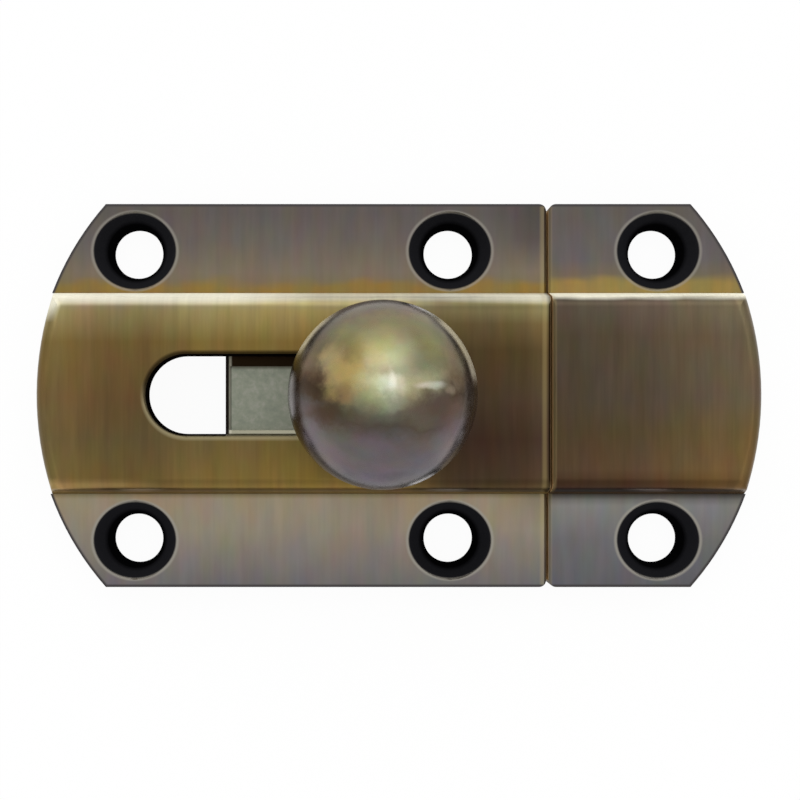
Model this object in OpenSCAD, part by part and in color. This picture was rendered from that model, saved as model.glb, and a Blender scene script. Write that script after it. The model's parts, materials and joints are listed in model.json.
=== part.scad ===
// Surface door bolt with a ball knob, shown thrown into its keeper.
// X runs along the bolt towards the keeper, Z points out of the door and z = 0 is the door's face.
// The origin is the middle of the whole lock on the door's face.

/* [Plate] */
// Length over the tips of the flanges' round ends, body and keeper together
overall_len = 76.2; // [74:0.2:84]
// Width across the flanges
plate_w = 40; // [39:0.5:46]
// Radius of the round outer ends, seen from the front
end_r = 30.2; // [28:0.2:34]
// Thickness of the flanges
flange_t = 3.4; // [2.6:0.1:3.6]
// Length of the keeper
keeper_len = 22.4; // [20:0.1:26]
// Gap between the latch body and the keeper
joint_gap = 0.2; // [0.1:0.1:2]
// Radius of the corners at the joint, seen from the front
joint_corner_r = 0.8; // [0.3:0.1:1.5]
// Bevel along the top edges of the joint
joint_bevel = 0.25; // [0.1:0.05:0.4]

/* [Channel] */
// Height of the raised face above the door
channel_h = 6.6; // [6.4:0.1:8]
// Width of the raised channel where it meets the flanges
channel_w = 21; // [20.6:0.1:21.4]
// Distance of the channel's middle from the middle of the flanges, towards +Y, as cast
channel_offset = 0.22; // [0:0.01:0.3]
// Angle by which its side and end walls lean in
channel_lean = 13; // [4:1:16]
// Radius of the round edge of the raised face
channel_edge_r = 1.35; // [0.5:0.05:1.5]
// Radius of its round end, seen from the front
channel_end_r = 33; // [30:0.5:40]
// Distance by which that end stands back from the tip of the flanges' arc
channel_end_inset = 0.35; // [0.2:0.05:0.6]
// Thickness of the roof over the bolt
roof_t = 1.8; // [1.6:0.1:2.2]
// Thickness of the side walls at the flanges
side_wall_t = 2.3; // [1.8:0.1:2.5]
// Thickness of the round end walls at the flanges
end_wall_t = 2; // [1.4:0.1:2.4]

/* [Screw holes] */
// Diameter of the holes for the fixing screws
hole_d = 5.2; // [4:0.1:5.6]
// Diameter of the cast holes where they open into the countersinks
hole_throat_d = 6; // [5.8:0.1:6.6]
// Depth of the straight stretch at the back of a hole
hole_land = 0.8; // [0.4:0.1:1.2]
// Diameter of the countersinks
countersink_d = 8.3; // [7:0.1:8.6]
// Distance between a flange's holes and those of the other flange
hole_rows = 30.2; // [29.6:0.2:31]
// Distance of the body's outer holes from its round end, measured on the centre line
hole_inset = 10.6; // [10:0.1:12]
// Distance of the keeper's holes from its round end
keeper_hole_inset = 10.95; // [10:0.05:12]
// Distance of the body's inner holes from its joint end
hole_joint_inset = 10.1; // [8:0.1:11]

/* [Slot] */
// Width of the slot that the knob runs in, at the back of the roof
slot_w = 8; // [7.6:0.1:8.6]
// Distance from the round end to the slot
slot_inset = 12.35; // [11:0.05:14]
// Draft of the slot's wall, by which it opens to the front on each side
slot_draft = 0.2; // [0.1:0.05:0.4]
// Bevel round the slot's front edge
slot_bevel = 0.15; // [0.1:0.05:0.3]

/* [Bolt] */
// Distance that the bolt travels
travel = 16.3; // [12:0.1:16.6]
// Width of the bolt's base
bolt_w = 15; // [13:0.1:15.2]
// Thickness of the bolt's base
bolt_base_t = 2; // [1.6:0.1:2.2]
// Width of the rib along the bolt's middle
rib_w = 6.6; // [6.3:0.1:7]
// Bevel at the ends of the rib
rib_bevel = 0.25; // [0.1:0.05:0.6]
// Step from the end of the base to the end of the rib
rib_step = 0.5; // [0:0.1:1]
// Clearance between the rib and the roof
rib_clearance = 0.3; // [0.1:0.05:0.5]
// Distance by which the loose bolt hangs below the channel's centre line
bolt_drop = 0.3; // [0:0.05:0.5]
// Length of the bolt behind the knob's axis
bolt_tail = 16.1; // [14:0.1:16.4]
// Radius of the corners of the bolt's nose, seen from the front
nose_r = 2; // [0.5:0.1:3]
// Distance by which the drawn bolt's nose lies inside the body
nose_inset = 0.3; // [0:0.1:1]
// Length of the boss that fills the slot under the knob
boss_len = 14.4; // [12:0.1:15]
// Width of the boss
boss_w = 6.3; // [6:0.1:6.5]
// Height of the boss above the raised face
boss_proud = 0.3; // [0.2:0.1:0.6]
// Gap between the boss and either end of the slot at the end of the travel
stop_gap = 0.3; // [0.3:0.05:0.5]

/* [Knob] */
// Diameter of the ball
knob_d = 17.9; // [15:0.1:18.2]
// Diameter of the neck under the ball
neck_d = 6.2; // [5.4:0.1:6.3]
// Length of the neck between the boss and the ball
neck_h = 1.5; // [1:0.1:3]
// Diameter of the screw that holds the knob
screw_d = 3.5; // [3:0.1:4]
// Diameter of the screw's countersunk head
screw_head_d = 6.6; // [6:0.1:7]
// Length of the screw, head and all
screw_len = 14.5; // [12:0.5:16]
// Width of the arms of the cross in its head
cross_w = 0.7; // [0.5:0.1:1]
// Depth of that cross
cross_depth = 0.9; // [0.6:0.1:1.2]

/* [Straps] */
// Width of the two straps behind the bolt
strap_w = 4; // [3:0.1:5]
// Length of the straps
strap_len = 25.6; // [25:0.1:26]
// Thickness of the straps
strap_t = 0.8; // [0.6:0.1:1]
// Gap between a strap and the edge of its recess
strap_play = 0.15; // [0.1:0.05:0.3]
// Distance of the tail strap's middle from the thrown bolt's tail
tail_strap_inset = 5.9; // [4:0.1:7]
// Distance of the nose strap's middle from the body's joint end
nose_strap_inset = 4.4; // [3.6:0.1:4.6]
// Clearance between the bolt and the straps
strap_clearance = 0.2; // [0.1:0.05:0.4]
// Diameter of the rivets
rivet_d = 2; // [1.6:0.1:2.2]
// Diameter of the rivets' flush heads
rivet_head_d = 3.2; // [2.8:0.1:3.4]
// Length of the rivets
rivet_len = 2.1; // [1.6:0.1:2.2]
// Distance of the rivets from the ends of a strap
rivet_inset = 1.9; // [1.8:0.1:2.1]

/* [Friction spring] */
// Length of the arched leaf
spring_len = 13; // [10:0.5:14]
// Width of the leaf
spring_w = 2.2; // [1.8:0.1:2.3]
// Thickness of the leaf
spring_t = 0.3; // [0.2:0.05:0.4]
// Distance of the leaf's middle from the body's joint end
spring_inset = 8.6; // [8.2:0.1:9]
// Clearance between the leaf and the bolt
spring_clearance = 0.1; // [0.05:0.05:0.2]
// Thickness of the lugs that keep the leaf in place
lug_t = 0.8; // [0.6:0.1:1]
// Height of the lugs below the roof
lug_h = 1; // [0.8:0.1:1.3]

/* [Hidden] */
$fn = 96;

// Extra length of each cut, so that it passes the face that it opens
over = 0.2;
// Radial gap between a screw or a rivet and its hole
fit_gap = 0.04;
// Gap between the lugs and the ends of the leaf
lug_gap = 0.2;
// Depth by which a leaning wall runs into the round edge above it
blend = 0.003;

// Castings
half_len = overall_len / 2;
body_end_x = half_len - keeper_len - joint_gap;
ceiling_z = channel_h - roof_t;
cavity_w = channel_w - 2 * side_wall_t;
channel_low_y = channel_offset - channel_w / 2;
channel_centre_x = channel_end_inset + channel_end_r - half_len;
outer_hole_x = hole_inset - half_len;
keeper_hole_x = keeper_hole_inset - half_len;
inner_hole_x = body_end_x - hole_joint_inset;

// Bolt and knob at rest, thrown
slot_x = slot_inset - half_len;
slot_len = travel + boss_len + 2 * stop_gap;
knob_x = slot_x + stop_gap + travel + boss_len / 2;
bolt_z = strap_t + strap_clearance;
shoulder_z = bolt_z + bolt_base_t;
rib_z = ceiling_z - rib_clearance;
boss_z = channel_h + boss_proud;
tail_x = knob_x - bolt_tail;
nose_x = body_end_x - nose_inset + travel;
neck_sink = knob_d / 2 - sqrt(pow(knob_d / 2, 2) - pow(neck_d / 2, 2));
ball_z = boss_z + neck_h + knob_d / 2 - neck_sink;

// Straps, rivets and spring
tail_strap_x = tail_x + tail_strap_inset;
nose_strap_x = body_end_x - nose_strap_inset;
rivet_y = strap_len / 2 - rivet_inset;
spring_x = body_end_x - spring_inset;
spring_y = slot_w / 2 + over + spring_w / 2;
spring_low = shoulder_z + spring_clearance;
spring_rise = ceiling_z - spring_low - spring_t - fit_gap;
spring_r = (pow(spring_len / 2, 2) + pow(spring_rise, 2)) / (2 * spring_rise);

// Draws a section of the YZ plane along X
module along_x(from_x, to_x) {
    translate([from_x, 0, 0]) rotate([90, 0, 90]) linear_extrude(to_x - from_x) children();
}

// Half of the channel's outline above the flanges: a wall that leans in, with a round top edge
module half_profile(reach) {
    edge_z = channel_h - channel_edge_r;
    wall_run = (edge_z - flange_t) * tan(channel_lean);
    edge_x = reach - wall_run - channel_edge_r / cos(channel_lean);
    meet_r = channel_edge_r - blend;
    polygon([
        [0, flange_t],
        [reach, flange_t],
        [edge_x + meet_r * cos(channel_lean), edge_z + meet_r * sin(channel_lean)],
        [edge_x, channel_h],
        [0, channel_h]
    ]);
    translate([edge_x, edge_z]) circle(r = channel_edge_r);
}

// Whole outline of the channel above the flanges, seen along the bolt
module channel_profile() {
    translate([channel_offset, 0]) {
        half_profile(channel_w / 2);
        mirror([1, 0]) half_profile(channel_w / 2);
    }
}

// Plan that starts at the left end with an arc of radius r, its tip set in by inset, and runs
// on to x = to_x with straight sides w apart
module round_ended(to_x, w, r, inset) {
    centre_x = inset + r - half_len;
    intersection() {
        translate([-half_len, -w / 2]) square([to_x + half_len, w]);
        union() {
            translate([centre_x, 0]) circle(r = r);
            if (to_x > centre_x) translate([centre_x, -w / 2]) square([to_x - centre_x, w]);
        }
    }
}

// Waste of a round corner, for the corner that points to +X and +Y
module corner_waste(r) {
    translate([-r, -r]) difference() {
        square(r + over);
        circle(r = r);
    }
}

// Plan of a casting's base: the flanges, with the channel's own end between them
module base_plan(to_x) {
    difference() {
        round_ended(to_x, plate_w, end_r, 0);
        for (side = [-1, 1]) scale([1, side]) translate([to_x, plate_w / 2])
            corner_waste(joint_corner_r);
        difference() {
            translate([-half_len - over, channel_low_y]) square([end_r, channel_w]);
            translate([channel_centre_x, 0]) circle(r = channel_end_r);
        }
    }
}

// Waste of the bevel along a top edge of the joint, which lies at the height z
module joint_waste(to_x, z, from_y, to_y) {
    leg = joint_bevel + 2 * over;
    translate([to_x + over, to_y, z + over]) rotate([90, 0, 0])
        linear_extrude(to_y - from_y) polygon([[0, 0], [-leg, 0], [0, -leg]]);
}

// Raised channel of a casting, above the flanges, with its leaning round end
module channel(to_x) {
    intersection() {
        along_x(-half_len, to_x) channel_profile();
        union() {
            translate([channel_centre_x, 0, 0]) rotate_extrude() half_profile(channel_end_r);
            if (to_x > channel_centre_x) translate([channel_centre_x, channel_low_y, 0])
                cube([to_x - channel_centre_x, channel_w, channel_h]);
        }
    }
}

// Outer form of a casting that runs from the left end to x = to_x
module casting(to_x) {
    edge_y = plate_w / 2 + over;
    difference() {
        linear_extrude(flange_t) base_plan(to_x);
        joint_waste(to_x, flange_t, channel_low_y + channel_w, edge_y);
        joint_waste(to_x, flange_t, -edge_y, channel_low_y);
    }
    difference() {
        channel(to_x);
        joint_waste(to_x, channel_h, -edge_y, edge_y);
    }
}

// Hollow of a casting, open at the back and at the joint
module cavity(to_x) {
    translate([0, 0, -over]) linear_extrude(ceiling_z + over)
        round_ended(to_x + over, cavity_w, channel_end_r - end_wall_t, channel_end_inset + end_wall_t);
}

// Hole for a countersunk fixing screw: a straight land, a drafted throat and the countersink
module screw_hole() {
    cone_h = (countersink_d - hole_throat_d) / 2;
    translate([0, 0, -over]) cylinder(d = hole_d, h = hole_land + over);
    translate([0, 0, hole_land])
        cylinder(d1 = hole_d, d2 = hole_throat_d, h = flange_t - cone_h - hole_land);
    translate([0, 0, flange_t - cone_h])
        cylinder(d1 = hole_throat_d, d2 = countersink_d + 2 * over, h = cone_h + over);
}

// Pair of screw holes, one in each flange
module hole_pair(x) {
    for (side = [-1, 1]) translate([x, side * hole_rows / 2, 0]) screw_hole();
}

// Obround that starts at x = 0 and runs towards +X
module obround(len, w) {
    for (x = [w / 2, len - w / 2]) translate([x, 0]) circle(d = w);
    translate([w / 2, -w / 2]) square([len - w, w]);
}

// Half of the slot's section: straight below the roof, drafted through it, bevelled at the front
module half_slot() {
    bevel_z = channel_h - slot_bevel;
    polygon([
        [0, ceiling_z - over],
        [slot_w / 2, ceiling_z - over],
        [slot_w / 2, ceiling_z],
        [slot_w / 2 + slot_draft, bevel_z],
        [slot_w / 2 + slot_draft + slot_bevel + over, channel_h + over],
        [0, channel_h + over]
    ]);
}

// Slot through the roof, between two round ends
module knob_slot() {
    from_x = slot_x + slot_w / 2;
    to_x = slot_x + slot_len - slot_w / 2;
    for (x = [from_x, to_x]) translate([x, 0, 0]) rotate_extrude() half_slot();
    along_x(from_x, to_x) {
        half_slot();
        mirror([1, 0]) half_slot();
    }
}

// Strap lying along Y on the door's face, grown by a gap all round and deepened by a cut's extra
module strap_block(gap, extra) {
    translate([-strap_w / 2 - gap, -strap_len / 2 - gap, -extra])
        cube([strap_w + 2 * gap, strap_len + 2 * gap, strap_t + extra]);
}

// Flush rivet with its head on the door's side, grown by a gap for its hole
module rivet(gap) {
    head_h = (rivet_head_d - rivet_d) / 2;
    cylinder(d = rivet_d + 2 * gap, h = rivet_len + gap);
    cylinder(d1 = rivet_head_d + 2 * gap, d2 = rivet_d + 2 * gap, h = head_h);
}

// Copies a shape to the ends of both straps
module at_rivets(places) {
    for (x = places, side = [-1, 1]) translate([x, side * rivet_y, 0]) children();
}

// Lugs under the roof, one at each end of the spring
module spring_lugs() {
    for (side = [-1, 1])
        translate([spring_x + side * (spring_len / 2 + lug_gap + lug_t / 2), spring_y, ceiling_z - lug_h / 2])
            cube([lug_t, spring_w, lug_h + over], center = true);
}

// One strap with its two riveted ends
module strap(x) {
    difference() {
        translate([x, 0, 0]) strap_block(0, 0);
        at_rivets([x]) translate([0, 0, -fit_gap]) rivet(fit_gap);
    }
}

module latch_body() {
    color([0.52, 0.47, 0.33]) difference() {
        union() {
            difference() {
                casting(body_end_x);
                cavity(body_end_x);
            }
            spring_lugs();
        }
        knob_slot();
        hole_pair(outer_hole_x);
        hole_pair(inner_hole_x);
        for (x = [tail_strap_x, nose_strap_x]) translate([x, 0, 0]) strap_block(strap_play, over);
        at_rivets([tail_strap_x, nose_strap_x]) rivet(fit_gap);
    }
}

module keeper() {
    end_x = keeper_len - half_len;
    color([0.42, 0.38, 0.30]) mirror([1, 0, 0]) difference() {
        casting(end_x);
        cavity(end_x);
        hole_pair(keeper_hole_x);
    }
}

// Flat bar with a raised rib along its middle and a boss that comes up through the slot
module slide_bolt() {
    rib_from = tail_x + rib_step;
    color([0.55, 0.55, 0.50]) translate([0, -bolt_drop, 0]) difference() {
        union() {
            translate([0, 0, bolt_z]) linear_extrude(bolt_base_t) difference() {
                translate([tail_x, -bolt_w / 2]) square([nose_x - tail_x, bolt_w]);
                for (side = [-1, 1]) scale([1, side]) translate([nose_x, bolt_w / 2])
                    corner_waste(nose_r);
            }
            translate([0, rib_w / 2, 0]) rotate([90, 0, 0]) linear_extrude(rib_w) polygon([
                [rib_from, bolt_z],
                [nose_x, bolt_z],
                [nose_x, rib_z - rib_bevel],
                [nose_x - rib_bevel, rib_z],
                [rib_from + rib_bevel, rib_z],
                [rib_from, rib_z - rib_bevel]
            ]);
            translate([knob_x - boss_len / 2, 0, bolt_z]) linear_extrude(boss_z - bolt_z)
                obround(boss_len, boss_w);
        }
        translate([knob_x, 0, 0]) screw_form(fit_gap);
    }
}

// Screw of the knob, grown by a gap for its holes
module screw_form(gap) {
    head_h = (screw_head_d - screw_d) / 2;
    translate([0, 0, bolt_z]) cylinder(d = screw_d + 2 * gap, h = screw_len + gap);
    translate([0, 0, bolt_z - gap])
        cylinder(d1 = screw_head_d + 4 * gap, d2 = screw_d + 2 * gap, h = head_h + gap);
}

module knob() {
    color([0.60, 0.55, 0.42]) translate([knob_x, -bolt_drop, 0]) difference() {
        union() {
            translate([0, 0, ball_z]) sphere(d = knob_d);
            translate([0, 0, boss_z]) cylinder(d = neck_d, h = ball_z - boss_z);
        }
        screw_form(fit_gap);
    }
}

module knob_screw() {
    color([0.70, 0.70, 0.72]) translate([knob_x, -bolt_drop, 0]) difference() {
        screw_form(0);
        for (turn = [0, 90]) translate([0, 0, bolt_z]) rotate([0, 0, turn])
            cube([screw_head_d / 2, cross_w, 2 * cross_depth], center = true);
    }
}

module tail_strap() {
    color([0.60, 0.60, 0.62]) strap(tail_strap_x);
}

module nose_strap() {
    color([0.60, 0.60, 0.62]) strap(nose_strap_x);
}

module strap_rivets() {
    color([0.66, 0.64, 0.58]) at_rivets([tail_strap_x, nose_strap_x]) rivet(0);
}

// Arched leaf: its ends bear on the roof and its crown on the bolt's shoulder
module friction_spring() {
    color([0.45, 0.47, 0.50]) translate([spring_x, spring_y + spring_w / 2, 0]) rotate([90, 0, 0])
        linear_extrude(spring_w) intersection() {
            translate([0, spring_low + spring_t + spring_r]) difference() {
                circle(r = spring_r + spring_t, $fn = 2 * $fn);
                circle(r = spring_r, $fn = 2 * $fn);
            }
            translate([-spring_len / 2, spring_low - over]) square([spring_len, spring_r]);
        }
}

latch_body();
keeper();
slide_bolt();
knob();
knob_screw();
tail_strap();
nose_strap();
strap_rivets();
friction_spring();
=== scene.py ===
import json

import bmesh
import bpy
import numpy as np
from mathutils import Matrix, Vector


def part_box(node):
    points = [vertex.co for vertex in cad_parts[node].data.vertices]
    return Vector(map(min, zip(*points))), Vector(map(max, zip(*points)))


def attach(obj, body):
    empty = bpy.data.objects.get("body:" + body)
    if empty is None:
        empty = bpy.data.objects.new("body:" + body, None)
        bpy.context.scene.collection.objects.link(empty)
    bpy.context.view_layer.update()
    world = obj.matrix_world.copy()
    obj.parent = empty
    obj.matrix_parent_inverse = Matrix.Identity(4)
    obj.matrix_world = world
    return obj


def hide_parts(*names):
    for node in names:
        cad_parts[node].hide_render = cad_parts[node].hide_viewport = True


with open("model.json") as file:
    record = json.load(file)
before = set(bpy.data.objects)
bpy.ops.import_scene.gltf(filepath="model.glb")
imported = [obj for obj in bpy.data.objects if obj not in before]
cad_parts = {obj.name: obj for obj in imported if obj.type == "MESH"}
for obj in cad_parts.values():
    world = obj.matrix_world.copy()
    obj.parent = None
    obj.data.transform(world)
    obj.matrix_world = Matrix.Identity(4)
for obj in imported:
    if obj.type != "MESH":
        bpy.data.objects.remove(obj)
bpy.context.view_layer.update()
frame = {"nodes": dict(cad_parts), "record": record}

# Camera
# The photograph looks straight down on the lock from close by, with the camera over the slot and
# a little below the middle, so that the ball leans up and the walls of the holes show.
mm = 0.001
picture_side = 800
camera_height = 140 * mm
under_camera = (-5.03 * mm, -3.6 * mm)
pixel_under_camera = (350, 430)
flange_height = 3.4 * mm
pixels_per_metre_at_flanges = 9575

lens = bpy.data.cameras.new("camera")
lens.lens = (lens.sensor_width * pixels_per_metre_at_flanges * (camera_height - flange_height)
             / picture_side)
lens.shift_x = 0.5 - pixel_under_camera[0] / picture_side
lens.shift_y = pixel_under_camera[1] / picture_side - 0.5
lens.clip_start = 5 * mm
camera = bpy.data.objects.new("camera", lens)
camera.location = (*under_camera, camera_height)
bpy.context.scene.collection.objects.link(camera)
bpy.context.scene.camera = camera
bpy.context.scene.view_settings.view_transform = "Standard"

# Studio
# A white table that keeps a trace of the shadow, under a dome of soft grey light that is
# brightest overhead and a little behind the lock, where it draws the light along the channel's edge.
every = slice(None)


def linear(colour):
    """Turns an sRGB hex colour into linear RGBA: straight up to 0.04045, and a power of 2.4 above."""
    channels = np.array([int(colour[at:at + 2], 16) for at in (0, 2, 4)]) / 255
    curved = ((channels + 0.055) / 1.055) ** 2.4
    return (*np.where(channels <= 0.04045, channels / 12.92, curved), 1)


def node(tree, kind, inputs=(), output=0, stops=(), span=(0, 1), **settings):
    """Adds a node with its settings, its inputs' values or links, and a ramp's stops along span.

    It returns the output of that name or number, or a list of every output. A Mix node has its
    share at socket 0, two numbers at 2 and 3 or two colours at 6 and 7, and the mixed colour at
    output 2. A MapRange node of vectors has its four limits at sockets 7 to 10.
    """
    made = tree.nodes.new("ShaderNode" + kind)
    for name, value in settings.items():
        setattr(made, name, value)
    for socket, value in dict(inputs).items():
        if isinstance(value, bpy.types.NodeSocket):
            tree.links.new(value, made.inputs[socket])
        else:
            made.inputs[socket].default_value = value
    for number, (place, colour) in enumerate(sorted(dict(stops).items())):
        elements = made.color_ramp.elements
        place = (place - span[0]) / (span[1] - span[0])
        element = elements[number] if number < 2 else elements.new(place)
        element.position = place
        element.color = linear(colour)
    return made.outputs[output] if made.outputs else made


def new_tree(owner):
    """Empties the node tree of a material or of the world and returns it."""
    owner.use_nodes = True
    owner.node_tree.nodes.clear()
    return owner.node_tree


world = bpy.data.worlds.new("studio")
bpy.context.scene.world = world
tree = new_tree(world)
direction = node(tree, "TexCoord", output="Generated")
overhead = node(tree, "VectorMath", {0: direction, 1: (0.05, 0.3, 0.95)}, "Value", operation="DOT_PRODUCT")
behind = node(tree, "VectorMath", {0: direction, 1: (0, 0.86, 0.51)}, "Value", operation="DOT_PRODUCT")
overhead = node(tree, "MapRange", {"Value": overhead, "From Min": -1})
dome = node(tree, "ValToRGB", {"Fac": overhead}, span=(-1, 1), stops={
    0: "dcdcdc", 0.3: "d4d4d6", 0.6: "c4c4c6", 0.8: "dadad8", 0.93: "fcfcf8", 1: "ffffff"})
strength = node(tree, "MapRange", {"Value": behind, "From Min": 0.75, "To Min": 1.2, "To Max": 2.6},
                interpolation_type="SMOOTHSTEP")
node(tree, "OutputWorld", {"Surface": node(tree, "Background", {"Color": dome, "Strength": strength})})

table_reach = 2
table_gap = 0.05 * mm
corners = [(x * table_reach, y * table_reach, -table_gap) for x, y in ((-1, -1), (1, -1), (1, 1), (-1, 1))]
table_top = bpy.data.meshes.new("table")
table_top.from_pydata(corners, [], [(0, 1, 2, 3)])
table = bpy.data.objects.new("table", table_top)
bpy.context.scene.collection.objects.link(table)

# White paper: the camera and the metal see it near white, and the rest of it takes the shadow. The
# strip of it that shows through the joint lies in the dark, except at the joint's round corners.
paper = bpy.data.materials.new("white_paper")
seen_white = 0.95
dark_share = 0.1
dark_reach = 18.5 * mm
joint_x = (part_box("latch_body")[1][0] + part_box("keeper")[0][0]) / 2
tree = new_tree(paper)
seen = 0
for ray in ("Is Camera Ray", "Is Glossy Ray", "Is Transmission Ray"):
    seen = node(tree, "Math", {0: seen, 1: node(tree, "LightPath", output=ray)}, operation="MAXIMUM")
x, y, _ = node(tree, "SeparateXYZ", {0: node(tree, "TexCoord", output="Object")}, every)
beside_joint = node(tree, "Math", {0: node(tree, "Math", {0: x, 1: joint_x}, operation="SUBTRACT")},
                    operation="ABSOLUTE")
past_end = node(tree, "Math", {0: node(tree, "Math", {0: y}, operation="ABSOLUTE"), 1: dark_reach},
                operation="SUBTRACT")
outside = node(tree, "Math", {0: beside_joint, 1: past_end}, operation="MAXIMUM")
outside = node(tree, "MapRange", {
    "Value": outside, "From Min": 0.7 * mm, "From Max": 0.8 * mm, "To Min": dark_share})
share = seen
for factor in (seen_white, outside):
    share = node(tree, "Math", {0: share, 1: factor}, operation="MULTIPLY")
plain = node(tree, "BsdfDiffuse", {"Color": linear("ffffff")})
white = node(tree, "Emission", {"Color": linear("ffffff"), "Strength": 1})
node(tree, "OutputMaterial", {"Surface": node(tree, "MixShader", {0: share, 1: plain, 2: white})})
table_top.materials.append(paper)


# Latch body and keeper
# Two castings in antique brass: darkened in a bath, linished across the lock and lacquered, with
# highlights and shade painted on their edges. The countersinks keep their black.
def finished_casting(name, rounding_width):
    """Copies a casting's mesh, merges its triangles into faces and rounds its sharp edges."""
    mesh = frame["nodes"][name].data.copy()
    form = bmesh.new()
    form.from_mesh(mesh)
    bmesh.ops.remove_doubles(form, verts=form.verts, dist=0.0005 * mm)
    bmesh.ops.dissolve_limit(form, angle_limit=np.radians(1), verts=form.verts, edges=form.edges)
    form.to_mesh(mesh)
    form.free()
    mesh.materials.clear()
    mesh.shade_smooth()
    piece = bpy.data.objects.new(name + "_casting", mesh)
    bpy.context.scene.collection.objects.link(piece)
    rounding = piece.modifiers.new("rounding", "BEVEL")
    rounding.width = rounding_width
    rounding.segments = 2
    rounding.limit_method = "ANGLE"
    rounding.angle_limit = np.radians(25)
    flatten = piece.modifiers.new("flat_faces_stay_flat", "WEIGHTED_NORMAL")
    flatten.keep_sharp = True
    return piece


# Sizes of the castings in millimetres, which are this material's unit. Half the length reaches to
# the tips of the ends' arcs, which the channel cuts short.
body_end, half_width = (round(size / mm, 3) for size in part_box("latch_body")[1][:2])
keeper_end = round(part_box("keeper")[0][0] / mm, 3)
joint_middle = (body_end + keeper_end) / 2
half_length = 38.1
end_radius = 30.2
flange_top = flange_height / mm
channel_foot = 10.5
countersink_radius = 4.15
slot_radius = 4.15
slot_from, slot_to = -21.75, 1.55

antique_brass = bpy.data.materials.new("antique_brass")
tree = new_tree(antique_brass)
place = node(tree, "VectorMath", {0: node(tree, "TexCoord", output="Object"), "Scale": 1 / mm},
             operation="SCALE")
x, y, z = node(tree, "SeparateXYZ", {0: place}, every)
side = node(tree, "Math", {0: y}, operation="ABSOLUTE")
upper_side = node(tree, "Math", {0: y, 1: 0}, operation="GREATER_THAN")
lower_side = node(tree, "Math", {0: y, 1: 0}, operation="LESS_THAN")
raised = node(tree, "MapRange", {"Value": z, "From Min": flange_top + 0.02, "From Max": flange_top + 0.3})
on_keeper = node(tree, "Math", {0: x, 1: joint_middle}, operation="GREATER_THAN")
on_body = node(tree, "Math", {0: 1, 1: on_keeper}, operation="SUBTRACT")
from_joint = node(tree, "Math", {0: node(tree, "Math", {0: x, 1: joint_middle}, operation="SUBTRACT")},
                  operation="ABSOLUTE")
folded_x = node(tree, "Math", {0: node(tree, "Math", {0: x}, operation="ABSOLUTE"),
                               1: half_length - end_radius}, operation="SUBTRACT")
from_end_centre = node(tree, "VectorMath", {0: node(tree, "CombineXYZ", {0: folded_x, 1: y})}, "Value",
                       operation="LENGTH")

# The bath's cloudy patches, a few millimetres wide and drawn out along the linishing, a little
# redder here and greener there, and the linishing lines, too fine to show and so drawn wider
cloud_size = (2, 4.5, 4.5)
line_size = (0.3, 6, 6)
broad_line_size = (0.9, 9, 9)
wave_size = (6, 3, 3)
patterns = []
for size in (cloud_size, line_size, broad_line_size, wave_size):
    fitted = node(tree, "VectorMath", {0: place, 1: size}, operation="DIVIDE")
    patterns.append(node(tree, "TexNoise", {"Vector": fitted, "Scale": 1}, every))
(cloud, cloud_hue), (lines, _), (broad_lines, _), (waves, _) = patterns
hue = node(tree, "MapRange", {
    "Vector": cloud_hue, 7: (0.3,) * 3, 8: (0.7,) * 3, 9: (0.93, 0.94, 0.91), 10: (1.07, 1.06, 1.09)},
    "Vector", data_type="FLOAT_VECTOR")
tone = 1
for pattern, depth in ((lines, 0.04), (broad_lines, 0.07)):
    shade = node(tree, "MapRange", {
        "Value": pattern, "From Min": 0.3, "From Max": 0.7, "To Min": 1 - depth, "To Max": 1 + depth})
    tone = node(tree, "Math", {0: tone, 1: shade}, operation="MULTIPLY")

# Flanges, edge to edge: grey-brown, painted paler on the lower flange than on the upper, with
# painted shade along the channel's lower foot and, on the body, next to the joint
edge_to_edge = (-half_width, half_width)
across = node(tree, "MapRange", {"Value": y, "From Min": -half_width, "From Max": half_width})
body_flange = node(tree, "ValToRGB", {"Fac": across}, span=edge_to_edge, stops={
    -20: "6a6768", -17: "7b746e", -14: "8a8172", -10.8: "938571", -10.5: "86785f", -10.3: "766a54",
    11: "75684c", 12.9: "726759", 16.2: "625b56", 19: "5a5350"})
keeper_flange = node(tree, "ValToRGB", {"Fac": across}, span=edge_to_edge, stops={
    -20: "5e5e63", -15: "6a686a", -11.5: "7c7a78", -10.9: "6c6a67", -10.6: "54524e", -10.3: "3c3834",
    11: "7a6f4c", 12.7: "6c6052", 14.2: "615b59", 19: "5a5552"})
flange = node(tree, "Mix", {0: on_keeper, 6: body_flange, 7: keeper_flange}, 2, data_type="RGBA")
near_foot = node(tree, "MapRange", {"Value": y, "From Min": -channel_foot - 3.5, "From Max": -channel_foot})
near_foot = node(tree, "Math", {0: near_foot, 1: lower_side}, operation="MULTIPLY")
near_rim = node(tree, "MapRange", {"Value": y, "From Min": 13, "From Max": 16.5})
joint_shade = node(tree, "MapRange", {"Value": x, "From Min": 9, "From Max": 14, "To Max": 0.28})
for mask in (on_body, node(tree, "Math", {0: near_foot, 1: near_rim}, operation="MAXIMUM")):
    joint_shade = node(tree, "Math", {0: joint_shade, 1: mask}, operation="MULTIPLY")
joint_shade = node(tree, "Math", {0: 1, 1: joint_shade}, operation="SUBTRACT")
flange = node(tree, "VectorMath", {0: flange, "Scale": joint_shade}, operation="SCALE")
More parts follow.
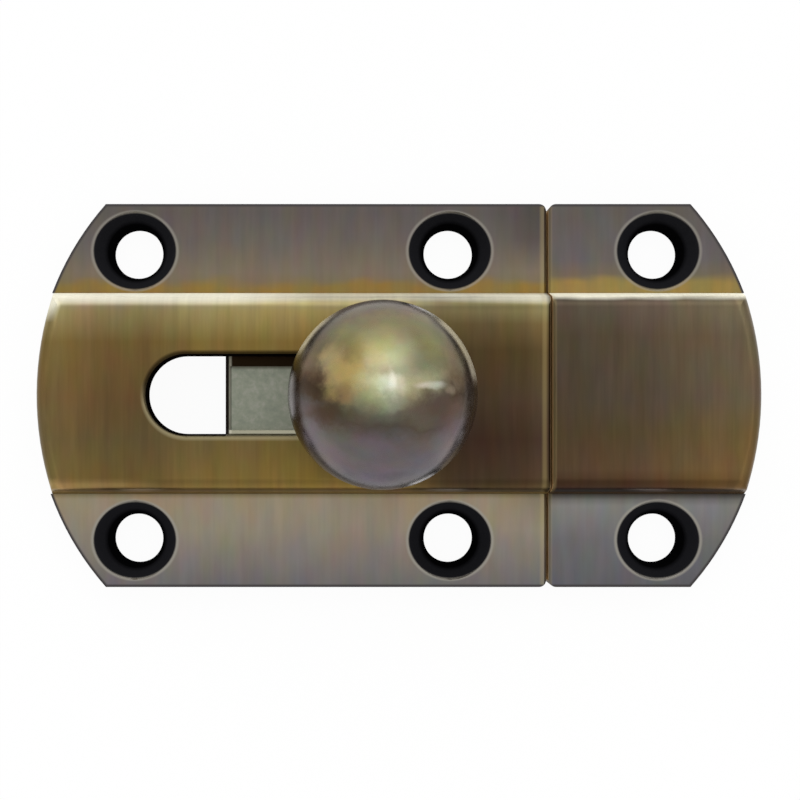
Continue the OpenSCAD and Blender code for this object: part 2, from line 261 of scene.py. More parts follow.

# A golden fringe with a wavy edge, a painted reflection of the lit wall, runs along the channel's
# upper foot, higher on the keeper
fringe_top = node(tree, "MapRange", {
    "Value": waves, "From Min": 0.35, "From Max": 0.65, "To Min": 11.6, "To Max": 12.6})
keeper_rise = node(tree, "Math", {0: on_keeper, 1: 0.45}, operation="MULTIPLY")
fringe_top = node(tree, "Math", {0: fringe_top, 1: keeper_rise}, operation="ADD")
fringe_depth = node(tree, "MapRange", {
    "Value": cloud, "From Min": 0.35, "From Max": 0.65, "To Min": 0.7, "To Max": 0.95})
fringe = node(tree, "Math", {0: fringe_top, 1: y}, operation="SUBTRACT")
fringe = node(tree, "MapRange", {"Value": fringe, "From Min": -0.4, "From Max": 1, "To Max": fringe_depth},
              interpolation_type="SMOOTHSTEP")
fringe = node(tree, "Math", {0: fringe, 1: upper_side}, operation="MULTIPLY")
gold = node(tree, "Mix", {0: on_keeper, 6: linear("846c37"), 7: linear("927a44")}, 2, data_type="RGBA")
flange = node(tree, "Mix", {0: fringe, 6: flange, 7: gold}, 2, data_type="RGBA")

# Raised face of the body, edge to edge: golden at the far end, darker brown from the knob to the
# joint, and paler and darker by turns along its length. It is painted paler towards both long edges,
# a painted highlight, and the darker brown from the knob to the joint is the knob's painted shadow
body_face = node(tree, "ValToRGB", {"Fac": across}, span=edge_to_edge, stops={
    -10.1: "a88f56", -9.6: "8e7746", -8.4: "76643b", -4.5: "6b5d3d", -0.5: "6e5b3b", 5.4: "77643b",
    8.5: "93875e", 9.2: "968e70"})
shaded_face = node(tree, "ValToRGB", {"Fac": across}, span=edge_to_edge, stops={
    -10.1: "6e5a3c", -9.3: "5c4a32", -8.5: "4e3e2f", -4.6: "463429", -0.5: "504131", 4.5: "56472e",
    7.2: "6f5f3e", 8.5: "867a55", 9.2: "7e7654"})
knob_shadow = node(tree, "MapRange", {"Value": x, "From Min": -2, "From Max": 7}, interpolation_type="SMOOTHSTEP")
face = node(tree, "Mix", {0: knob_shadow, 6: body_face, 7: shaded_face}, 2, data_type="RGBA")
along = node(tree, "MapRange", {"Value": x, "From Min": -half_length, "From Max": half_length})
stretch = node(tree, "ValToRGB", {"Fac": along}, span=(-half_length, half_length), stops={
    -38: "ffffff", -34: "f6f0ea", -30: "e0d8d8", -26: "dcd4d2", -21: "f6f4ea", -10: "fff8dc",
    0: "f2ecdc", 4: "d8d6d4", 9: "dad8d6", 13: "e8e6e4", 14.3: "ffffff"})
face = node(tree, "Mix", {0: 1, 6: face, 7: stretch}, 2, data_type="RGBA", blend_type="MULTIPLY")

# Raised face of the keeper: plainer, darkest at the joint, paler and more olive to its round end,
# and darker along its lower edge, a painted dark reflection
keeper_face = node(tree, "ValToRGB", {"Fac": across}, span=edge_to_edge, stops={
    -9.8: "483228", -9: "4c3626", -7.6: "584432", -4: "50432f", -0.5: "4e4337", 6: "504537",
    8.8: "5a4f42", 9.3: "554b3e", 9.8: "554c40"})
paler = node(tree, "MapRange", {
    "Vector": x, 7: (22,) * 3, 8: (39,) * 3, 9: (1, 1, 1), 10: (1.68, 1.68, 1.54)},
    "Vector", data_type="FLOAT_VECTOR", interpolation_type="SMOOTHSTEP")
darker = node(tree, "MapRange", {"Value": x, "From Min": keeper_end, "From Max": 24, "To Min": 0.84})
keeper_face = node(tree, "VectorMath", {0: keeper_face, 1: paler}, operation="MULTIPLY")
keeper_face = node(tree, "VectorMath", {0: keeper_face, "Scale": darker}, operation="SCALE")
olive = node(tree, "MapRange", {"Value": x, "From Min": 24, "From Max": 35})
olive_side = node(tree, "MapRange", {"Value": y, "From Min": 0, "From Max": -6, "To Max": 0.45})
olive = node(tree, "Math", {0: olive, 1: olive_side}, operation="MULTIPLY")
keeper_face = node(tree, "Mix", {0: olive, 6: keeper_face, 7: linear("70592c")}, 2, data_type="RGBA")
face = node(tree, "Mix", {0: on_keeper, 6: face, 7: keeper_face}, 2, data_type="RGBA")

# The lower edge has a painted golden highlight at the body's far end, and both end walls have a
# painted highlight on their bend
lower_edge_highlight = node(tree, "MapRange", {"Value": x, "From Min": -24, "From Max": -29, "To Max": 0.35})
for clear_y, edge_y in ((-8.5, -9.1), (-9.8, -9.3)):
    edge = node(tree, "MapRange", {"Value": y, "From Min": clear_y, "From Max": edge_y})
    lower_edge_highlight = node(tree, "Math", {0: lower_edge_highlight, 1: edge}, operation="MULTIPLY")
face = node(tree, "Mix", {0: lower_edge_highlight, 6: face, 7: linear("c4a468")}, 2, data_type="RGBA")
bend_radius = end_radius - 1.75
off_bend = node(tree, "Math", {0: from_end_centre, 1: bend_radius}, operation="SUBTRACT")
off_bend = node(tree, "Math", {0: off_bend}, operation="ABSOLUTE")
painted_bend_light = node(tree, "MapRange", {"Value": on_keeper, "To Min": 1.25, "To Max": 1.32})
painted_bend_light = node(tree, "MapRange", {
    "Value": off_bend, "From Min": 0.5, "From Max": 0.1, "To Min": 1, "To Max": painted_bend_light},
    interpolation_type="SMOOTHSTEP")
face = node(tree, "VectorMath", {0: face, "Scale": painted_bend_light}, operation="SCALE")
colour = node(tree, "Mix", {0: raised, 6: flange, 7: face}, 2, data_type="RGBA")
colour = node(tree, "VectorMath", {0: colour, 1: hue}, operation="MULTIPLY")

# The channel's upper edge has a painted highlight: broad at the body's far end, narrow towards the
# joint, and a thin wavering line on the keeper; at the body's ends it turns and runs down the end
narrower = node(tree, "MapRange", {"Value": x, "From Min": -17, "From Max": -8, "To Max": -0.35})
wider = node(tree, "MapRange", {"Value": x, "From Min": 4, "From Max": 14, "To Max": 0.25})
highlight_at = y
for shift in (narrower, wider):
    highlight_at = node(tree, "Math", {0: highlight_at, 1: shift}, operation="ADD")
body_edge_highlight = node(tree, "MapRange", {"Value": highlight_at, "From Min": 8.95, "From Max": 10.35},
                 interpolation_type="SMOOTHSTEP")
low_fade = node(tree, "MapRange", {"Value": y, "From Min": 10.2, "From Max": 10.6})
low_fade = node(tree, "Math", {0: low_fade, 1: narrower}, operation="MULTIPLY")
low_fade = node(tree, "Math", {0: low_fade, 1: 1}, operation="ADD")
body_edge_highlight = node(tree, "Math", {0: body_edge_highlight, 1: low_fade}, operation="MULTIPLY")
waver = node(tree, "MapRange", {
    "Value": waves, "From Min": 0.3, "From Max": 0.7, "To Min": -0.1, "To Max": 0.1})
waver = node(tree, "Math", {0: y, 1: waver}, operation="ADD")
keeper_edge_highlight = node(tree, "MapRange", {"Value": waver, "From Min": 9.6, "From Max": 10.25},
                   interpolation_type="SMOOTHSTEP")
edge_highlight = node(tree, "Mix", {0: on_keeper, 2: body_edge_highlight, 3: keeper_edge_highlight})
corner_highlight = node(tree, "MapRange", {
    "Value": from_end_centre, "From Min": end_radius - 2.1, "From Max": end_radius - 1.4})
corner_highlight_reach = node(tree, "MapRange", {"Value": y, "From Min": 7.4, "From Max": 9.3, "To Max": 0.8})
for mask in (corner_highlight_reach, on_body):
    corner_highlight = node(tree, "Math", {0: corner_highlight, 1: mask}, operation="MULTIPLY")
edge_highlight = node(tree, "Math", {0: edge_highlight, 1: corner_highlight}, operation="MAXIMUM")
edge_highlight = node(tree, "Math", {0: edge_highlight, 1: raised}, operation="MULTIPLY")
colour = node(tree, "Mix", {0: edge_highlight, 6: colour, 7: linear("fffbe6")}, 2, data_type="RGBA")

# The linishing lines show less on the edge's painted highlight and on the flanges
calm = node(tree, "MapRange", {"Value": raised, "To Min": 0.45, "To Max": 0})
calm_highlight = node(tree, "Math", {0: edge_highlight, 1: 0.6}, operation="MULTIPLY")
calm = node(tree, "Math", {0: calm_highlight, 1: calm}, operation="MAXIMUM")
calm_tone = node(tree, "Mix", {0: calm, 2: tone, 3: 1})
colour = node(tree, "VectorMath", {0: colour, "Scale": calm_tone}, operation="SCALE")

# Painted light and shade at the joint: a light line along it on both castings, painted shade on the
# body right next to it, where the bevel goes down, and the end faces inside it painted a light brown
painted_light_x = node(tree, "MapRange", {"Value": raised, "To Min": body_end - 0.45, "To Max": body_end - 0.67})
painted_light_x = node(tree, "Mix", {0: on_keeper, 2: painted_light_x, 3: keeper_end + 0.1})
away = node(tree, "Math", {0: node(tree, "Math", {0: x, 1: painted_light_x}, operation="SUBTRACT")},
            operation="ABSOLUTE")
painted_light = node(tree, "MapRange", {"Value": away, "From Min": 0.35, "From Max": 0.1, "To Max": 0.2})
colour = node(tree, "Mix", {0: painted_light, 6: colour, 7: linear("b8a470")}, 2, data_type="RGBA")
shade_before_joint = node(tree, "MapRange", {
    "Value": x, "From Min": body_end - 0.5, "From Max": body_end - 0.1, "To Max": 0.7})
for mask in (on_body, raised):
    shade_before_joint = node(tree, "Math", {0: shade_before_joint, 1: mask}, operation="MULTIPLY")
colour = node(tree, "Mix", {0: shade_before_joint, 6: colour, 7: linear("2a2014")}, 2, data_type="RGBA")
painted_gap_light = node(tree, "MapRange", {"Value": from_joint, "From Min": 0.14, "From Max": 0.11})
colour = node(tree, "Mix", {0: painted_gap_light, 6: colour, 7: linear("b49468")}, 2, data_type="RGBA")

# The foot of the channel's lower wall is one dark line of painted shade, and the outline is a dark
# line of painted reflection, over mottled walls
foot = node(tree, "MapRange", {"Value": z, "From Min": 4.9, "From Max": 4.2})
for mask in (raised, lower_side):
    foot = node(tree, "Math", {0: foot, 1: mask}, operation="MULTIPLY")
shade = node(tree, "Mix", {0: on_keeper, 6: linear("725d36"), 7: linear("4a3a28")}, 2, data_type="RGBA")
colour = node(tree, "Mix", {0: foot, 6: colour, 7: shade}, 2, data_type="RGBA")
rim_inner, rim_outer = 0.35, 0.15
rim_end = node(tree, "MapRange", {
    "Value": from_end_centre, "From Min": end_radius - rim_inner, "From Max": end_radius - rim_outer})
rim_side = node(tree, "MapRange", {
    "Value": side, "From Min": half_width - rim_inner, "From Max": half_width - rim_outer})
rim = node(tree, "Math", {0: rim_end, 1: rim_side}, operation="MAXIMUM")
wall = node(tree, "ValToRGB", {"Fac": cloud}, stops={0.35: "514a43", 0.65: "5d5346"})
wall = node(tree, "VectorMath", {0: wall, "Scale": tone}, operation="SCALE")
wall_top = node(tree, "MapRange", {"Value": z, "From Min": flange_top - 0.5, "From Max": flange_top - 0.1})
wall = node(tree, "Mix", {0: wall_top, 6: wall, 7: linear("423f40")}, 2, data_type="RGBA")
colour = node(tree, "Mix", {0: rim, 6: colour, 7: wall}, 2, data_type="RGBA")

# The linishing belt has run into the countersinks' upper and lower edges, so the black that they
# keep is a little wider than high, with a thin ring of painted highlight round it, stronger below
far_off = 100
nearest = far_off
for mount in frame["record"]["mounts"]:
    if mount["kind"] == "bolt_pattern":
        spread = mount["dims"].get("spacing_x_mm", 0) / 2
        hole_y = mount["dims"]["spacing_y_mm"] / 2
        for hole_x in sorted({mount["pos_m"][0] / mm - spread, mount["pos_m"][0] / mm + spread}):
            offset = node(tree, "CombineXYZ", {
                0: node(tree, "Math", {0: x, 1: hole_x}, operation="SUBTRACT"),
                1: node(tree, "Math", {0: side, 1: hole_y}, operation="SUBTRACT")})
            offset = node(tree, "VectorMath", {0: offset, 1: (0.97, 1.05, 1)}, operation="MULTIPLY")
            distance = node(tree, "VectorMath", {0: offset}, "Value", operation="LENGTH")
            nearest = node(tree, "Math", {0: nearest, 1: distance}, operation="MINIMUM")
rim_highlight = node(tree, "MapRange", {
    "Value": nearest, "From Min": countersink_radius + 0.4, "From Max": countersink_radius + 0.2})
rim_highlight_strength = node(tree, "MapRange", {"Value": y, "From Min": -1, "From Max": 1, "To Min": 0.8, "To Max": 0.5})
rim_highlight = node(tree, "Math", {0: rim_highlight, 1: rim_highlight_strength}, operation="MULTIPLY")
colour = node(tree, "Mix", {0: rim_highlight, 6: colour, 7: linear("949088")}, 2, data_type="RGBA")
black = node(tree, "MapRange", {
    "Value": nearest, "From Min": countersink_radius + 0.1, "From Max": countersink_radius - 0.05})
# Down the throat the black is painted darker still, as painted shade
throat = node(tree, "MapRange", {"Value": z, "From Min": 2.6, "From Max": 2.2})
pitch = node(tree, "Mix", {0: throat, 6: linear("1c1c1f"), 7: linear("070708")}, 2, data_type="RGBA")
colour = node(tree, "Mix", {0: black, 6: colour, 7: pitch}, 2, data_type="RGBA")

# The slot's wall is black too, with a soft line of painted shade round its upper half and a painted
# highlight on the bevel round its lower half; the straight sill at the bottom keeps that highlight
# down the wall
slot_middle = node(tree, "Clamp", {"Value": x, "Min": slot_from, "Max": slot_to})
along_slot = node(tree, "Math", {0: x, 1: slot_middle}, operation="SUBTRACT")
offset = node(tree, "CombineXYZ", {0: along_slot, 1: y})
from_slot = node(tree, "VectorMath", {0: offset}, "Value", operation="LENGTH")
slot_wall = node(tree, "MapRange", {
    "Value": from_slot, "From Min": slot_radius + 0.15, "From Max": slot_radius + 0.02})
shifted = node(tree, "VectorMath", {0: offset, 1: (0.08, -0.12, 0)}, operation="ADD")
shifted = node(tree, "VectorMath", {0: shifted}, "Value", operation="LENGTH")
slot_shade_line = node(tree, "MapRange", {
    "Value": shifted, "From Min": slot_radius + 0.35, "From Max": slot_radius + 0.1, "To Max": 0.65})
slot_shade_side = node(tree, "MapRange", {"Value": y, "From Min": -1, "From Max": 1})
slot_shade_line = node(tree, "Math", {0: slot_shade_line, 1: slot_shade_side}, operation="MULTIPLY")
slot_wall = node(tree, "Math", {0: slot_wall, 1: slot_shade_line}, operation="MAXIMUM")
sill = node(tree, "Math", {0: x, 1: slot_from + 4}, operation="GREATER_THAN")
sill_side = node(tree, "Math", {0: y, 1: 1 - slot_radius}, operation="LESS_THAN")
sill = node(tree, "Math", {0: sill, 1: sill_side}, operation="MULTIPLY")
off_sill = node(tree, "Math", {0: 1, 1: sill}, operation="SUBTRACT")
slot_wall = node(tree, "Math", {0: slot_wall, 1: off_sill}, operation="MULTIPLY")
# Painted highlight on the lower half of the slot's bevel
bevel = node(tree, "MapRange", {
    "Value": from_slot, "From Min": slot_radius + 0.6, "From Max": slot_radius + 0.3})
bevel_side = node(tree, "MapRange", {"Value": y, "From Min": 1.5, "From Max": -1, "To Max": 0.38})
for mask in (bevel_side, raised):
    bevel = node(tree, "Math", {0: bevel, 1: mask}, operation="MULTIPLY")
colour = node(tree, "Mix", {0: bevel, 6: colour, 7: linear("b4aa88")}, 2, data_type="RGBA")
colour = node(tree, "Mix", {0: slot_wall, 6: colour, 7: linear("0a0706")}, 2, data_type="RGBA")
black = node(tree, "Math", {0: black, 1: slot_wall}, operation="MAXIMUM")

# The back and the hollow under the roof are left as cast: dull yellow with a sandy skin
sand_grain = 0.4
faces_down = node(tree, "SeparateXYZ", {0: node(tree, "TexCoord", output="Normal")}, "Z")
faces_down = node(tree, "MapRange", {"Value": faces_down, "From Min": -0.3, "From Max": -0.6})
sand = node(tree, "TexNoise", {"Vector": place, "Scale": 1 / sand_grain, "Detail": 3, "Roughness": 0.7})
as_cast = node(tree, "ValToRGB", {"Fac": sand}, stops={0.3: "6e5f3c", 0.7: "94835a"})
colour = node(tree, "Mix", {0: faces_down, 6: colour, 7: as_cast}, 2, data_type="RGBA")

# Black places, the painted highlights, the painted light and the painted shade mirror the studio
# little or not at all
far_edge = node(tree, "Math", {0: painted_light, 1: on_keeper}, operation="MULTIPLY")
dull = black
for mask, share in ((edge_highlight, 0.95), (painted_gap_light, 1), (foot, 0.8), (far_edge, 3.5)):
    mask = node(tree, "Math", {0: mask, 1: share}, operation="MULTIPLY")
    dull = node(tree, "Math", {0: dull, 1: mask}, operation="MAXIMUM")
metallic = node(tree, "Math", {0: 1, 1: dull}, operation="SUBTRACT")
roughness = node(tree, "MapRange", {"Value": black, "To Min": 0.36, "To Max": 0.8})
grain = node(tree, "Bump", {"Strength": 0.15, "Distance": 0.01 * mm, "Height": lines})
sandy = node(tree, "Math", {0: sand, 1: faces_down}, operation="MULTIPLY")
grain = node(tree, "Bump", {"Strength": 0.4, "Distance": 0.1 * mm, "Height": sandy, "Normal": grain})
brass = node(tree, "BsdfPrincipled", {
    "Base Color": colour, "Metallic": metallic, "Roughness": roughness, "Specular IOR Level": 0,
    "Normal": grain})
node(tree, "OutputMaterial", {"Surface": brass})

edge_rounding = 0.06 * mm
for name in ("latch_body", "keeper"):
    casting = finished_casting(name, edge_rounding)
    casting.data.materials.append(antique_brass)
    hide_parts(name)
    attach(casting, "latch")

# Slide bolt
# A flat ribbed bar of bare steel under the roof. Its rib is dull behind the slot; the shoulder on
# the lower side has painted light, and the one on the upper side a painted shadow of the roof, which
# spreads onto the rib's top.
bolt_steel = bpy.data.materials.new("bare_ground_steel")
mottle_size = 0.8
tail_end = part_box("slide_bolt")[0][0] / mm
tree = new_tree(bolt_steel)
place = node(tree, "VectorMath", {0: node(tree, "TexCoord", output="Object"), "Scale": 1 / mm},
             operation="SCALE")
x, y, z = node(tree, "SeparateXYZ", {0: place}, every)
mottle = node(tree, "TexNoise", {"Vector": place, "Scale": 1 / mottle_size, "Detail": 3, "Roughness": 0.7})
steel = node(tree, "ValToRGB", {"Fac": mottle}, stops={0.3: "7c8175", 0.5: "868a7c", 0.7: "94948a"})
# Painted shadow of the roof on the upper shoulder and the rib's edge; painted light on the lower one
shadow_onto_rib = node(tree, "MapRange", {"Value": y, "From Min": 2.55, "From Max": 3.05, "To Max": 0.75},
               interpolation_type="SMOOTHSTEP")
steel = node(tree, "Mix", {0: shadow_onto_rib, 6: steel, 7: linear("2c2014")}, 2, data_type="RGBA")
upper = node(tree, "MapRange", {"Value": y, "From Min": 2.9, "From Max": 3.05})
lower = node(tree, "MapRange", {"Value": y, "From Min": -3.5, "From Max": -3.65})
on_shoulder = node(tree, "MapRange", {"Value": z, "From Min": 4.3, "From Max": 4.1})
shadowed_shoulder = node(tree, "Math", {0: upper, 1: on_shoulder}, operation="MULTIPLY")
painted_light = node(tree, "Math", {0: lower, 1: on_shoulder}, operation="MULTIPLY")
steel = node(tree, "Mix", {0: shadowed_shoulder, 6: steel, 7: linear("2c2014")}, 2, data_type="RGBA")
steel = node(tree, "Mix", {0: painted_light, 6: steel, 7: linear("969382")}, 2, data_type="RGBA")
# At the tail: a painted highlight on its bevel, and painted shade on its cut end
tail_highlight = node(tree, "MapRange", {
    "Value": x, "From Min": tail_end + 0.7, "From Max": tail_end + 0.55, "To Max": 0.7})
steel = node(tree, "Mix", {0: tail_highlight, 6: steel, 7: linear("b4b0a0")}, 2, data_type="RGBA")
tail_shade = node(tree, "MapRange", {"Value": x, "From Min": tail_end + 0.4, "From Max": tail_end + 0.3})
steel = node(tree, "Mix", {0: tail_shade, 6: steel, 7: linear("1c1814")}, 2, data_type="RGBA")
roughness = node(tree, "MapRange", {"Value": painted_light, "To Min": 0.5, "To Max": 0.12})
scratch = node(tree, "Bump", {"Strength": 0.1, "Distance": 0.02 * mm, "Height": mottle})
metal = node(tree, "BsdfPrincipled", {
    "Base Color": steel, "Metallic": 1, "Roughness": roughness, "Normal": scratch})
node(tree, "OutputMaterial", {"Surface": metal})
bar = frame["nodes"]["slide_bolt"]
bar.data.materials.clear()
bar.data.materials.append(bolt_steel)


# Knob
# A turned ball with a short neck, polished after the bath. Its gold and green-grey on top and its
# plum-grey on the lower side are painted reflections. A screw from behind holds it to the bolt.
def turned_surface(name, radius, height, centre, steps):
    """Turns a profile about a vertical axis: x = cx + r cos(a), y = cy + r sin(a), z = height."""
    angle = np.linspace(0, 2 * np.pi, steps, endpoint=False)
    points = np.stack([
        centre[0] + radius[:, None] * np.cos(angle),
        centre[1] + radius[:, None] * np.sin(angle),
        np.broadcast_to(height[:, None], (len(height), steps))], axis=-1).reshape(-1, 3)
    row = np.arange(len(radius) - 1)[:, None] * steps
    column = np.arange(steps)
    following = (column + 1) % steps
    faces = np.stack([row + column, row + steps + column, row + steps + following, row + following], axis=-1)
    mesh = bpy.data.meshes.new(name)
    mesh.from_pydata(points, [], faces.reshape(-1, 4))
    form = bmesh.new()
    form.from_mesh(mesh)
    bmesh.ops.remove_doubles(form, verts=form.verts, dist=0.0001 * mm)
    bmesh.ops.recalc_face_normals(form, faces=form.faces)
    form.to_mesh(mesh)
    form.free()
    mesh.shade_smooth()
    piece = bpy.data.objects.new(name, mesh)
    bpy.context.scene.collection.objects.link(piece)
    return piece


# The profile runs from the top over the ball, which is hammered a hair out of round, through a
# small throat down the neck to its flat foot
low, high = (np.array(corner_highlight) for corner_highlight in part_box("knob"))
ball_r = (high[0] - low[0]) / 2
ball_x, ball_y = (low[:2] + high[:2]) / 2
ball_z = high[2] - ball_r
neck_r = 3.1 * mm
throat_r = 0.5 * mm
dent_depth = 0.012 * mm
ball_points, throat_points, points_round = 150, 12, 192
throat_z = ball_z - np.sqrt((ball_r + throat_r) ** 2 - (neck_r + throat_r) ** 2)
touch = np.arctan2(neck_r + throat_r, ball_z - throat_z)
polar = np.linspace(0, np.pi - touch, ball_points)
dented_r = ball_r - dent_depth * (1 + np.sin(7 * polar) * np.cos(3 * polar)) / 2 * np.sin(polar)
turn = np.linspace(touch, np.pi / 2, throat_points)[1:]
ball_heights = ball_z + dented_r * np.cos(polar)
throat_heights = throat_z + throat_r * np.cos(turn)
knob = turned_surface(
    "ball_knob",
    np.concatenate([dented_r * np.sin(polar), neck_r + throat_r * (1 - np.sin(turn)), [neck_r, 0]]),
    np.concatenate([ball_heights, throat_heights, [low[2], low[2]]]),
    (ball_x, ball_y), points_round)

# Its material measures from the ball's centre, in ball radii. Large patches have a ragged edge,
# and small ones a steadier one.
polished_brass = bpy.data.materials.new("polished_antique_brass")
tree = new_tree(polished_brass)
place = node(tree, "TexCoord", output="Object")
place = node(tree, "VectorMath", {0: place, 1: (ball_x, ball_y, ball_z)}, operation="SUBTRACT")
place = node(tree, "VectorMath", {0: place, "Scale": 1 / ball_r}, operation="SCALE")
drift = node(tree, "TexNoise", {"Vector": place, "Scale": 3.5, "Detail": 4, "Roughness": 0.65}, "Color")
drift = node(tree, "VectorMath", {0: drift, 1: (0.5, 0.5, 0.5)}, operation="SUBTRACT")
drift = node(tree, "VectorMath", {0: drift, "Scale": 0.3}, operation="SCALE")
ragged = node(tree, "VectorMath", {0: place, 1: drift}, operation="ADD")
steady = node(tree, "VectorMath", {0: drift, "Scale": 0.35}, operation="SCALE")
steady = node(tree, "VectorMath", {0: place, 1: steady}, operation="ADD")
x, y, _ = node(tree, "SeparateXYZ", {0: ragged}, every)

# Painted reflection: gold gives way to plum-grey along a horizon that hangs down in the middle
bend = node(tree, "Math", {0: x, 1: x}, operation="MULTIPLY")
bend_share = node(tree, "MapRange", {
    "Value": x, "From Min": -0.1, "From Max": 0.1, "To Min": 0.4, "To Max": 0.2})
low_side = node(tree, "MapRange", {"Value": y, "From Min": 0.3, "From Max": -0.1})
for factor in (bend_share, low_side):
    bend = node(tree, "Math", {0: bend, 1: factor}, operation="MULTIPLY")
up = node(tree, "Math", {0: y, 1: bend}, operation="SUBTRACT")
up = node(tree, "MapRange", {"Value": up, "From Min": -1, "From Max": 1})
middle = node(tree, "ValToRGB", {"Fac": up}, span=(-1, 1), stops={
    -0.92: "504c4f", -0.8: "645d61", -0.68: "6a6266", -0.53: "6c6462", -0.37: "5c5247", -0.21: "706c5a",
    -0.05: "959072", 0.1: "b6b08c", 0.26: "968f6f", 0.42: "938960", 0.58: "88805c", 0.74: "857a5e",
    0.89: "70665b"})
flanks = node(tree, "ValToRGB", {"Fac": up}, span=(-1, 1), stops={
    -0.8: "706768", -0.6: "716769", -0.4: "655a59", -0.3: "5a504d", -0.2: "4c3c32", -0.05: "423326",
    0.1: "5c4a36", 0.26: "6d624a", 0.42: "72654f", 0.58: "675b4f", 0.74: "5c544c"})
off_middle = node(tree, "Math", {0: node(tree, "Math", {0: x, 1: 0.05}, operation="SUBTRACT")},
                  operation="ABSOLUTE")
flank = node(tree, "MapRange", {"Value": off_middle, "From Min": 0.35, "From Max": 0.75},
             interpolation_type="SMOOTHSTEP")
colour = node(tree, "Mix", {0: flank, 6: middle, 7: flanks}, 2, data_type="RGBA")

# Patches of painted reflection, gold at the left, green-grey at the right and dark brown below, and
# pale painted highlights in the middle and at the right. Each line has the patch's middle, its
# reach along x and y, its strength and its colour.
small_reach = 0.1
for at, reach, strength, tint in (
        ((-0.45, 0.78, 0.4), (0.2, 0.16), 0.5, "665850"),
        ((-0.5, 0.32, 0.8), (0.17, 0.2), 0.8, "b8a274"),
        ((-0.3, 0.36, 0.88), (0.12, 0.22), 0.6, "806f40"),
        ((-0.4, 0.15, 0.9), (0.2, 0.2), 0.9, "c4a868"),
        ((-0.42, -0.04, 0.88), (0.16, 0.12), 0.6, "9a7c50"),
        ((0.22, 0.3, 0.93), (0.18, 0.3), 0.6, "8e9470"),
        ((0.1, -0.06, 0.99), (0.16, 0.12), 0.5, "8c9a7c"),
        ((0.55, -0.12, 0.83), (0.32, 0.14), 0.9, "5f5044"),
        ((-0.55, -0.22, 0.8), (0.26, 0.12), 0.7, "4c3a28"),
        ((0.45, 0.07, 0.87), (0.15, 0.04), 0.85, "dcd8c6"),
        ((0.66, 0.03, 0.7), (0.05, 0.04), 0.5, "a4967a"),
        ((0.07, 0.09, 0.98), (0.14, 0.13), 0.55, "dcdabc"),
        ((0.08, 0.11, 0.98), (0.04, 0.09), 0.5, "ece8d0")):
    edge = steady if reach[1] < small_reach else ragged
    away = node(tree, "VectorMath", {0: edge, 1: at}, operation="SUBTRACT")
    away = node(tree, "VectorMath", {0: away, 1: (*reach, 1)}, operation="DIVIDE")
    away = node(tree, "VectorMath", {0: away}, "Value", operation="LENGTH")
    patch = node(tree, "MapRange", {"Value": away, "From Min": 1.4, "From Max": 0.25, "To Max": strength},
                 interpolation_type="SMOOTHSTEP")
    colour = node(tree, "Mix", {0: patch, 6: colour, 7: linear(tint)}, 2, data_type="RGBA")

blotches = node(tree, "TexNoise", {"Vector": place, "Scale": 2.6, "Detail": 3, "Roughness": 0.6}, "Color")
blotches = node(tree, "MapRange", {
    "Vector": blotches, 7: (0.3,) * 3, 8: (0.7,) * 3, 9: (0.88, 0.9, 0.88), 10: (1.12, 1.1, 1.14)},
    "Vector", data_type="FLOAT_VECTOR")
colour = node(tree, "VectorMath", {0: colour, 1: blotches}, operation="MULTIPLY")

# A pale painted reflection lies on the upper half of the girth on both sides, beyond a thin dark
# line of painted reflection
girth_x, girth_y, girth_z = node(tree, "SeparateXYZ", {0: place}, every)
from_axis = node(tree, "CombineXYZ", {0: girth_x, 1: girth_y})
from_axis = node(tree, "VectorMath", {0: from_axis}, "Value", operation="LENGTH")
limb_reach_from = node(tree, "MapRange", {
    "Value": girth_x, "From Min": -0.5, "From Max": 0.5, "To Min": 0.28, "To Max": 0})
limb_reach = node(tree, "Math", {0: girth_y, 1: limb_reach_from}, operation="SUBTRACT")
limb_reach = node(tree, "MapRange", {"Value": limb_reach, "From Max": 0.22}, interpolation_type="SMOOTHSTEP")
limb_reach_side = node(tree, "MapRange", {
    "Value": node(tree, "Math", {0: girth_x}, operation="ABSOLUTE"), "From Min": 0.3, "From Max": 0.65},
    interpolation_type="SMOOTHSTEP")
limb_reach = node(tree, "Math", {0: limb_reach, 1: limb_reach_side}, operation="MULTIPLY")
limb_reach = node(tree, "Math", {0: limb_reach, 1: 2}, operation="POWER")
right_wider = node(tree, "MapRange", {"Value": girth_x, "From Min": 0.2, "From Max": 0.6, "To Max": 0.025})
edge_at = node(tree, "Math", {0: from_axis, 1: right_wider}, operation="ADD")
off_line = node(tree, "Math", {0: node(tree, "Math", {0: edge_at, 1: 0.92}, operation="SUBTRACT")},
                operation="ABSOLUTE")
line = node(tree, "MapRange", {"Value": off_line, "From Min": 0.045, "From Max": 0.01, "To Max": 0.6})
line = node(tree, "Math", {0: line, 1: limb_reach}, operation="MULTIPLY")
colour = node(tree, "Mix", {0: line, 6: colour, 7: linear("4a4238")}, 2, data_type="RGBA")
girth = node(tree, "MapRange", {"Value": edge_at, "From Min": 0.915, "From Max": 0.965},
             interpolation_type="SMOOTHSTEP")
above = node(tree, "MapRange", {"Value": girth_z, "From Min": -0.25, "From Max": 0.15},
             interpolation_type="SMOOTHSTEP")
for mask in (above, limb_reach):
    girth = node(tree, "Math", {0: girth, 1: mask}, operation="MULTIPLY")
colour = node(tree, "Mix", {0: girth, 6: colour, 7: linear("d0c8b0")}, 2, data_type="RGBA")
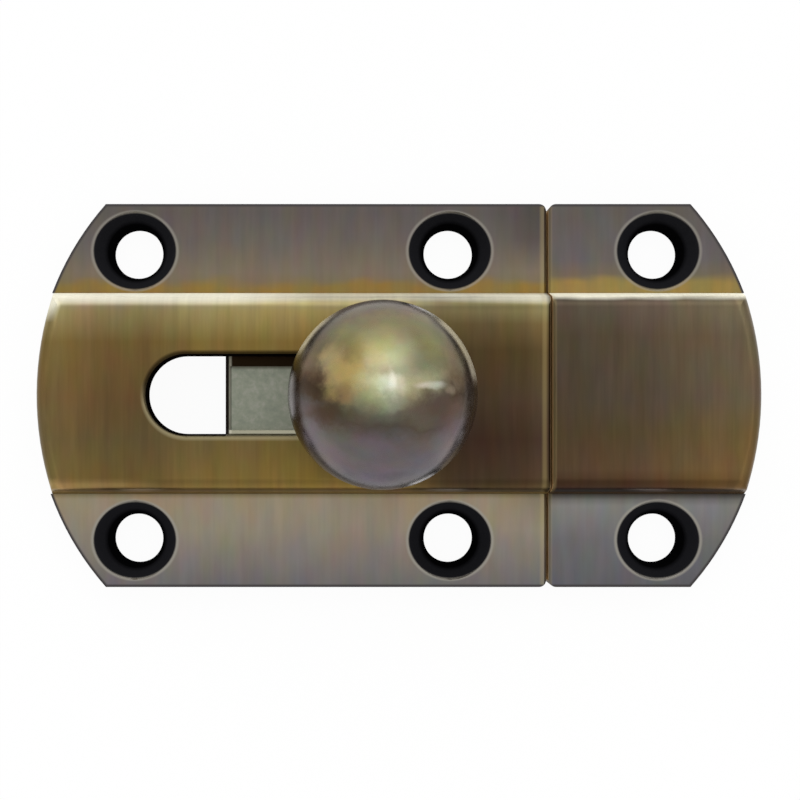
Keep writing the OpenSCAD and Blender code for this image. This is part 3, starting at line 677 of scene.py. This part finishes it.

# The rest of the rim has painted reflection: paler below and at the lower right, and dark at the
# left. Each line has where the shade starts and is full outwards, along y and along x, its strength
# and its colour.
for outwards, along_y, along_x, strength, tint in (
        ((0.94, 0.985), (-0.15, -0.6), (-1.2, -1.1), 0.55, "b0a6a0"),
        ((0.8, 0.9), (0.4, 0), (0.5, 0.9), 0.55, "b0a6a0"),
        ((0.9, 0.95), (0.35, 0.1), (-0.75, -0.95), 0.5, "2a2622")):
    shade = strength
    for distance, (start, full) in ((from_axis, outwards), (girth_y, along_y), (girth_x, along_x)):
        fade = node(tree, "MapRange", {"Value": distance, "From Min": start, "From Max": full})
        shade = node(tree, "Math", {0: shade, 1: fade}, operation="MULTIPLY")
    colour = node(tree, "Mix", {0: shade, 6: colour, 7: linear(tint)}, 2, data_type="RGBA")
metallic = node(tree, "MapRange", {"Value": girth, "To Min": 1, "To Max": 0.4})
rub = node(tree, "TexNoise", {"Vector": place, "Scale": 9, "Detail": 4, "Roughness": 0.7})
roughness = node(tree, "MapRange", {
    "Value": rub, "From Min": 0.3, "From Max": 0.7, "To Min": 0.2, "To Max": 0.3})
dents = node(tree, "Bump", {"Strength": 0.04, "Distance": 0.1 * mm, "Height": rub})
metal = node(tree, "BsdfPrincipled", {
    "Base Color": colour, "Metallic": metallic, "Roughness": roughness, "Normal": dents})
node(tree, "OutputMaterial", {"Surface": metal})
knob.data.materials.append(polished_brass)
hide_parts("knob")
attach(knob, "bolt")


# Screw, straps, rivets and spring
# Small hardware behind the bolt: bare strip steel straps, brass rivets, a blued leaf spring and
# the zinc-plated screw in the knob, each with fine grinding lines.
def plain_metal(name, colour, roughness):
    """Makes a metal of one colour, lighter and darker along lines a third of a millimetre wide."""
    made = bpy.data.materials.new(name)
    tree = new_tree(made)
    place = node(tree, "TexCoord", output="Object")
    stretched = node(tree, "VectorMath", {0: place, 1: (3 / mm, 0.3 / mm, 3 / mm)}, operation="MULTIPLY")
    lines = node(tree, "TexNoise", {"Vector": stretched, "Scale": 1})
    tone = node(tree, "MapRange", {
        "Value": lines, "From Min": 0.2, "From Max": 0.8, "To Min": 0.85, "To Max": 1.15})
    shade = node(tree, "VectorMath", {0: linear(colour)[:3], "Scale": tone}, operation="SCALE")
    node(tree, "OutputMaterial", {"Surface": node(tree, "BsdfPrincipled", {
        "Base Color": shade, "Metallic": 1, "Roughness": roughness})})
    return made


for names, metal in (
        (["tail_strap", "nose_strap"], plain_metal("strip_steel", "8c8c8e", 0.4)),
        (["strap_rivets"], plain_metal("rivet_brass", "a89060", 0.4)),
        (["friction_spring"], plain_metal("blued_spring_steel", "5c616b", 0.3)),
        (["knob_screw"], plain_metal("zinc_plate", "9e9ea1", 0.3))):
    for name in names:
        frame["nodes"][name].data.materials.clear()
        frame["nodes"][name].data.materials.append(metal)
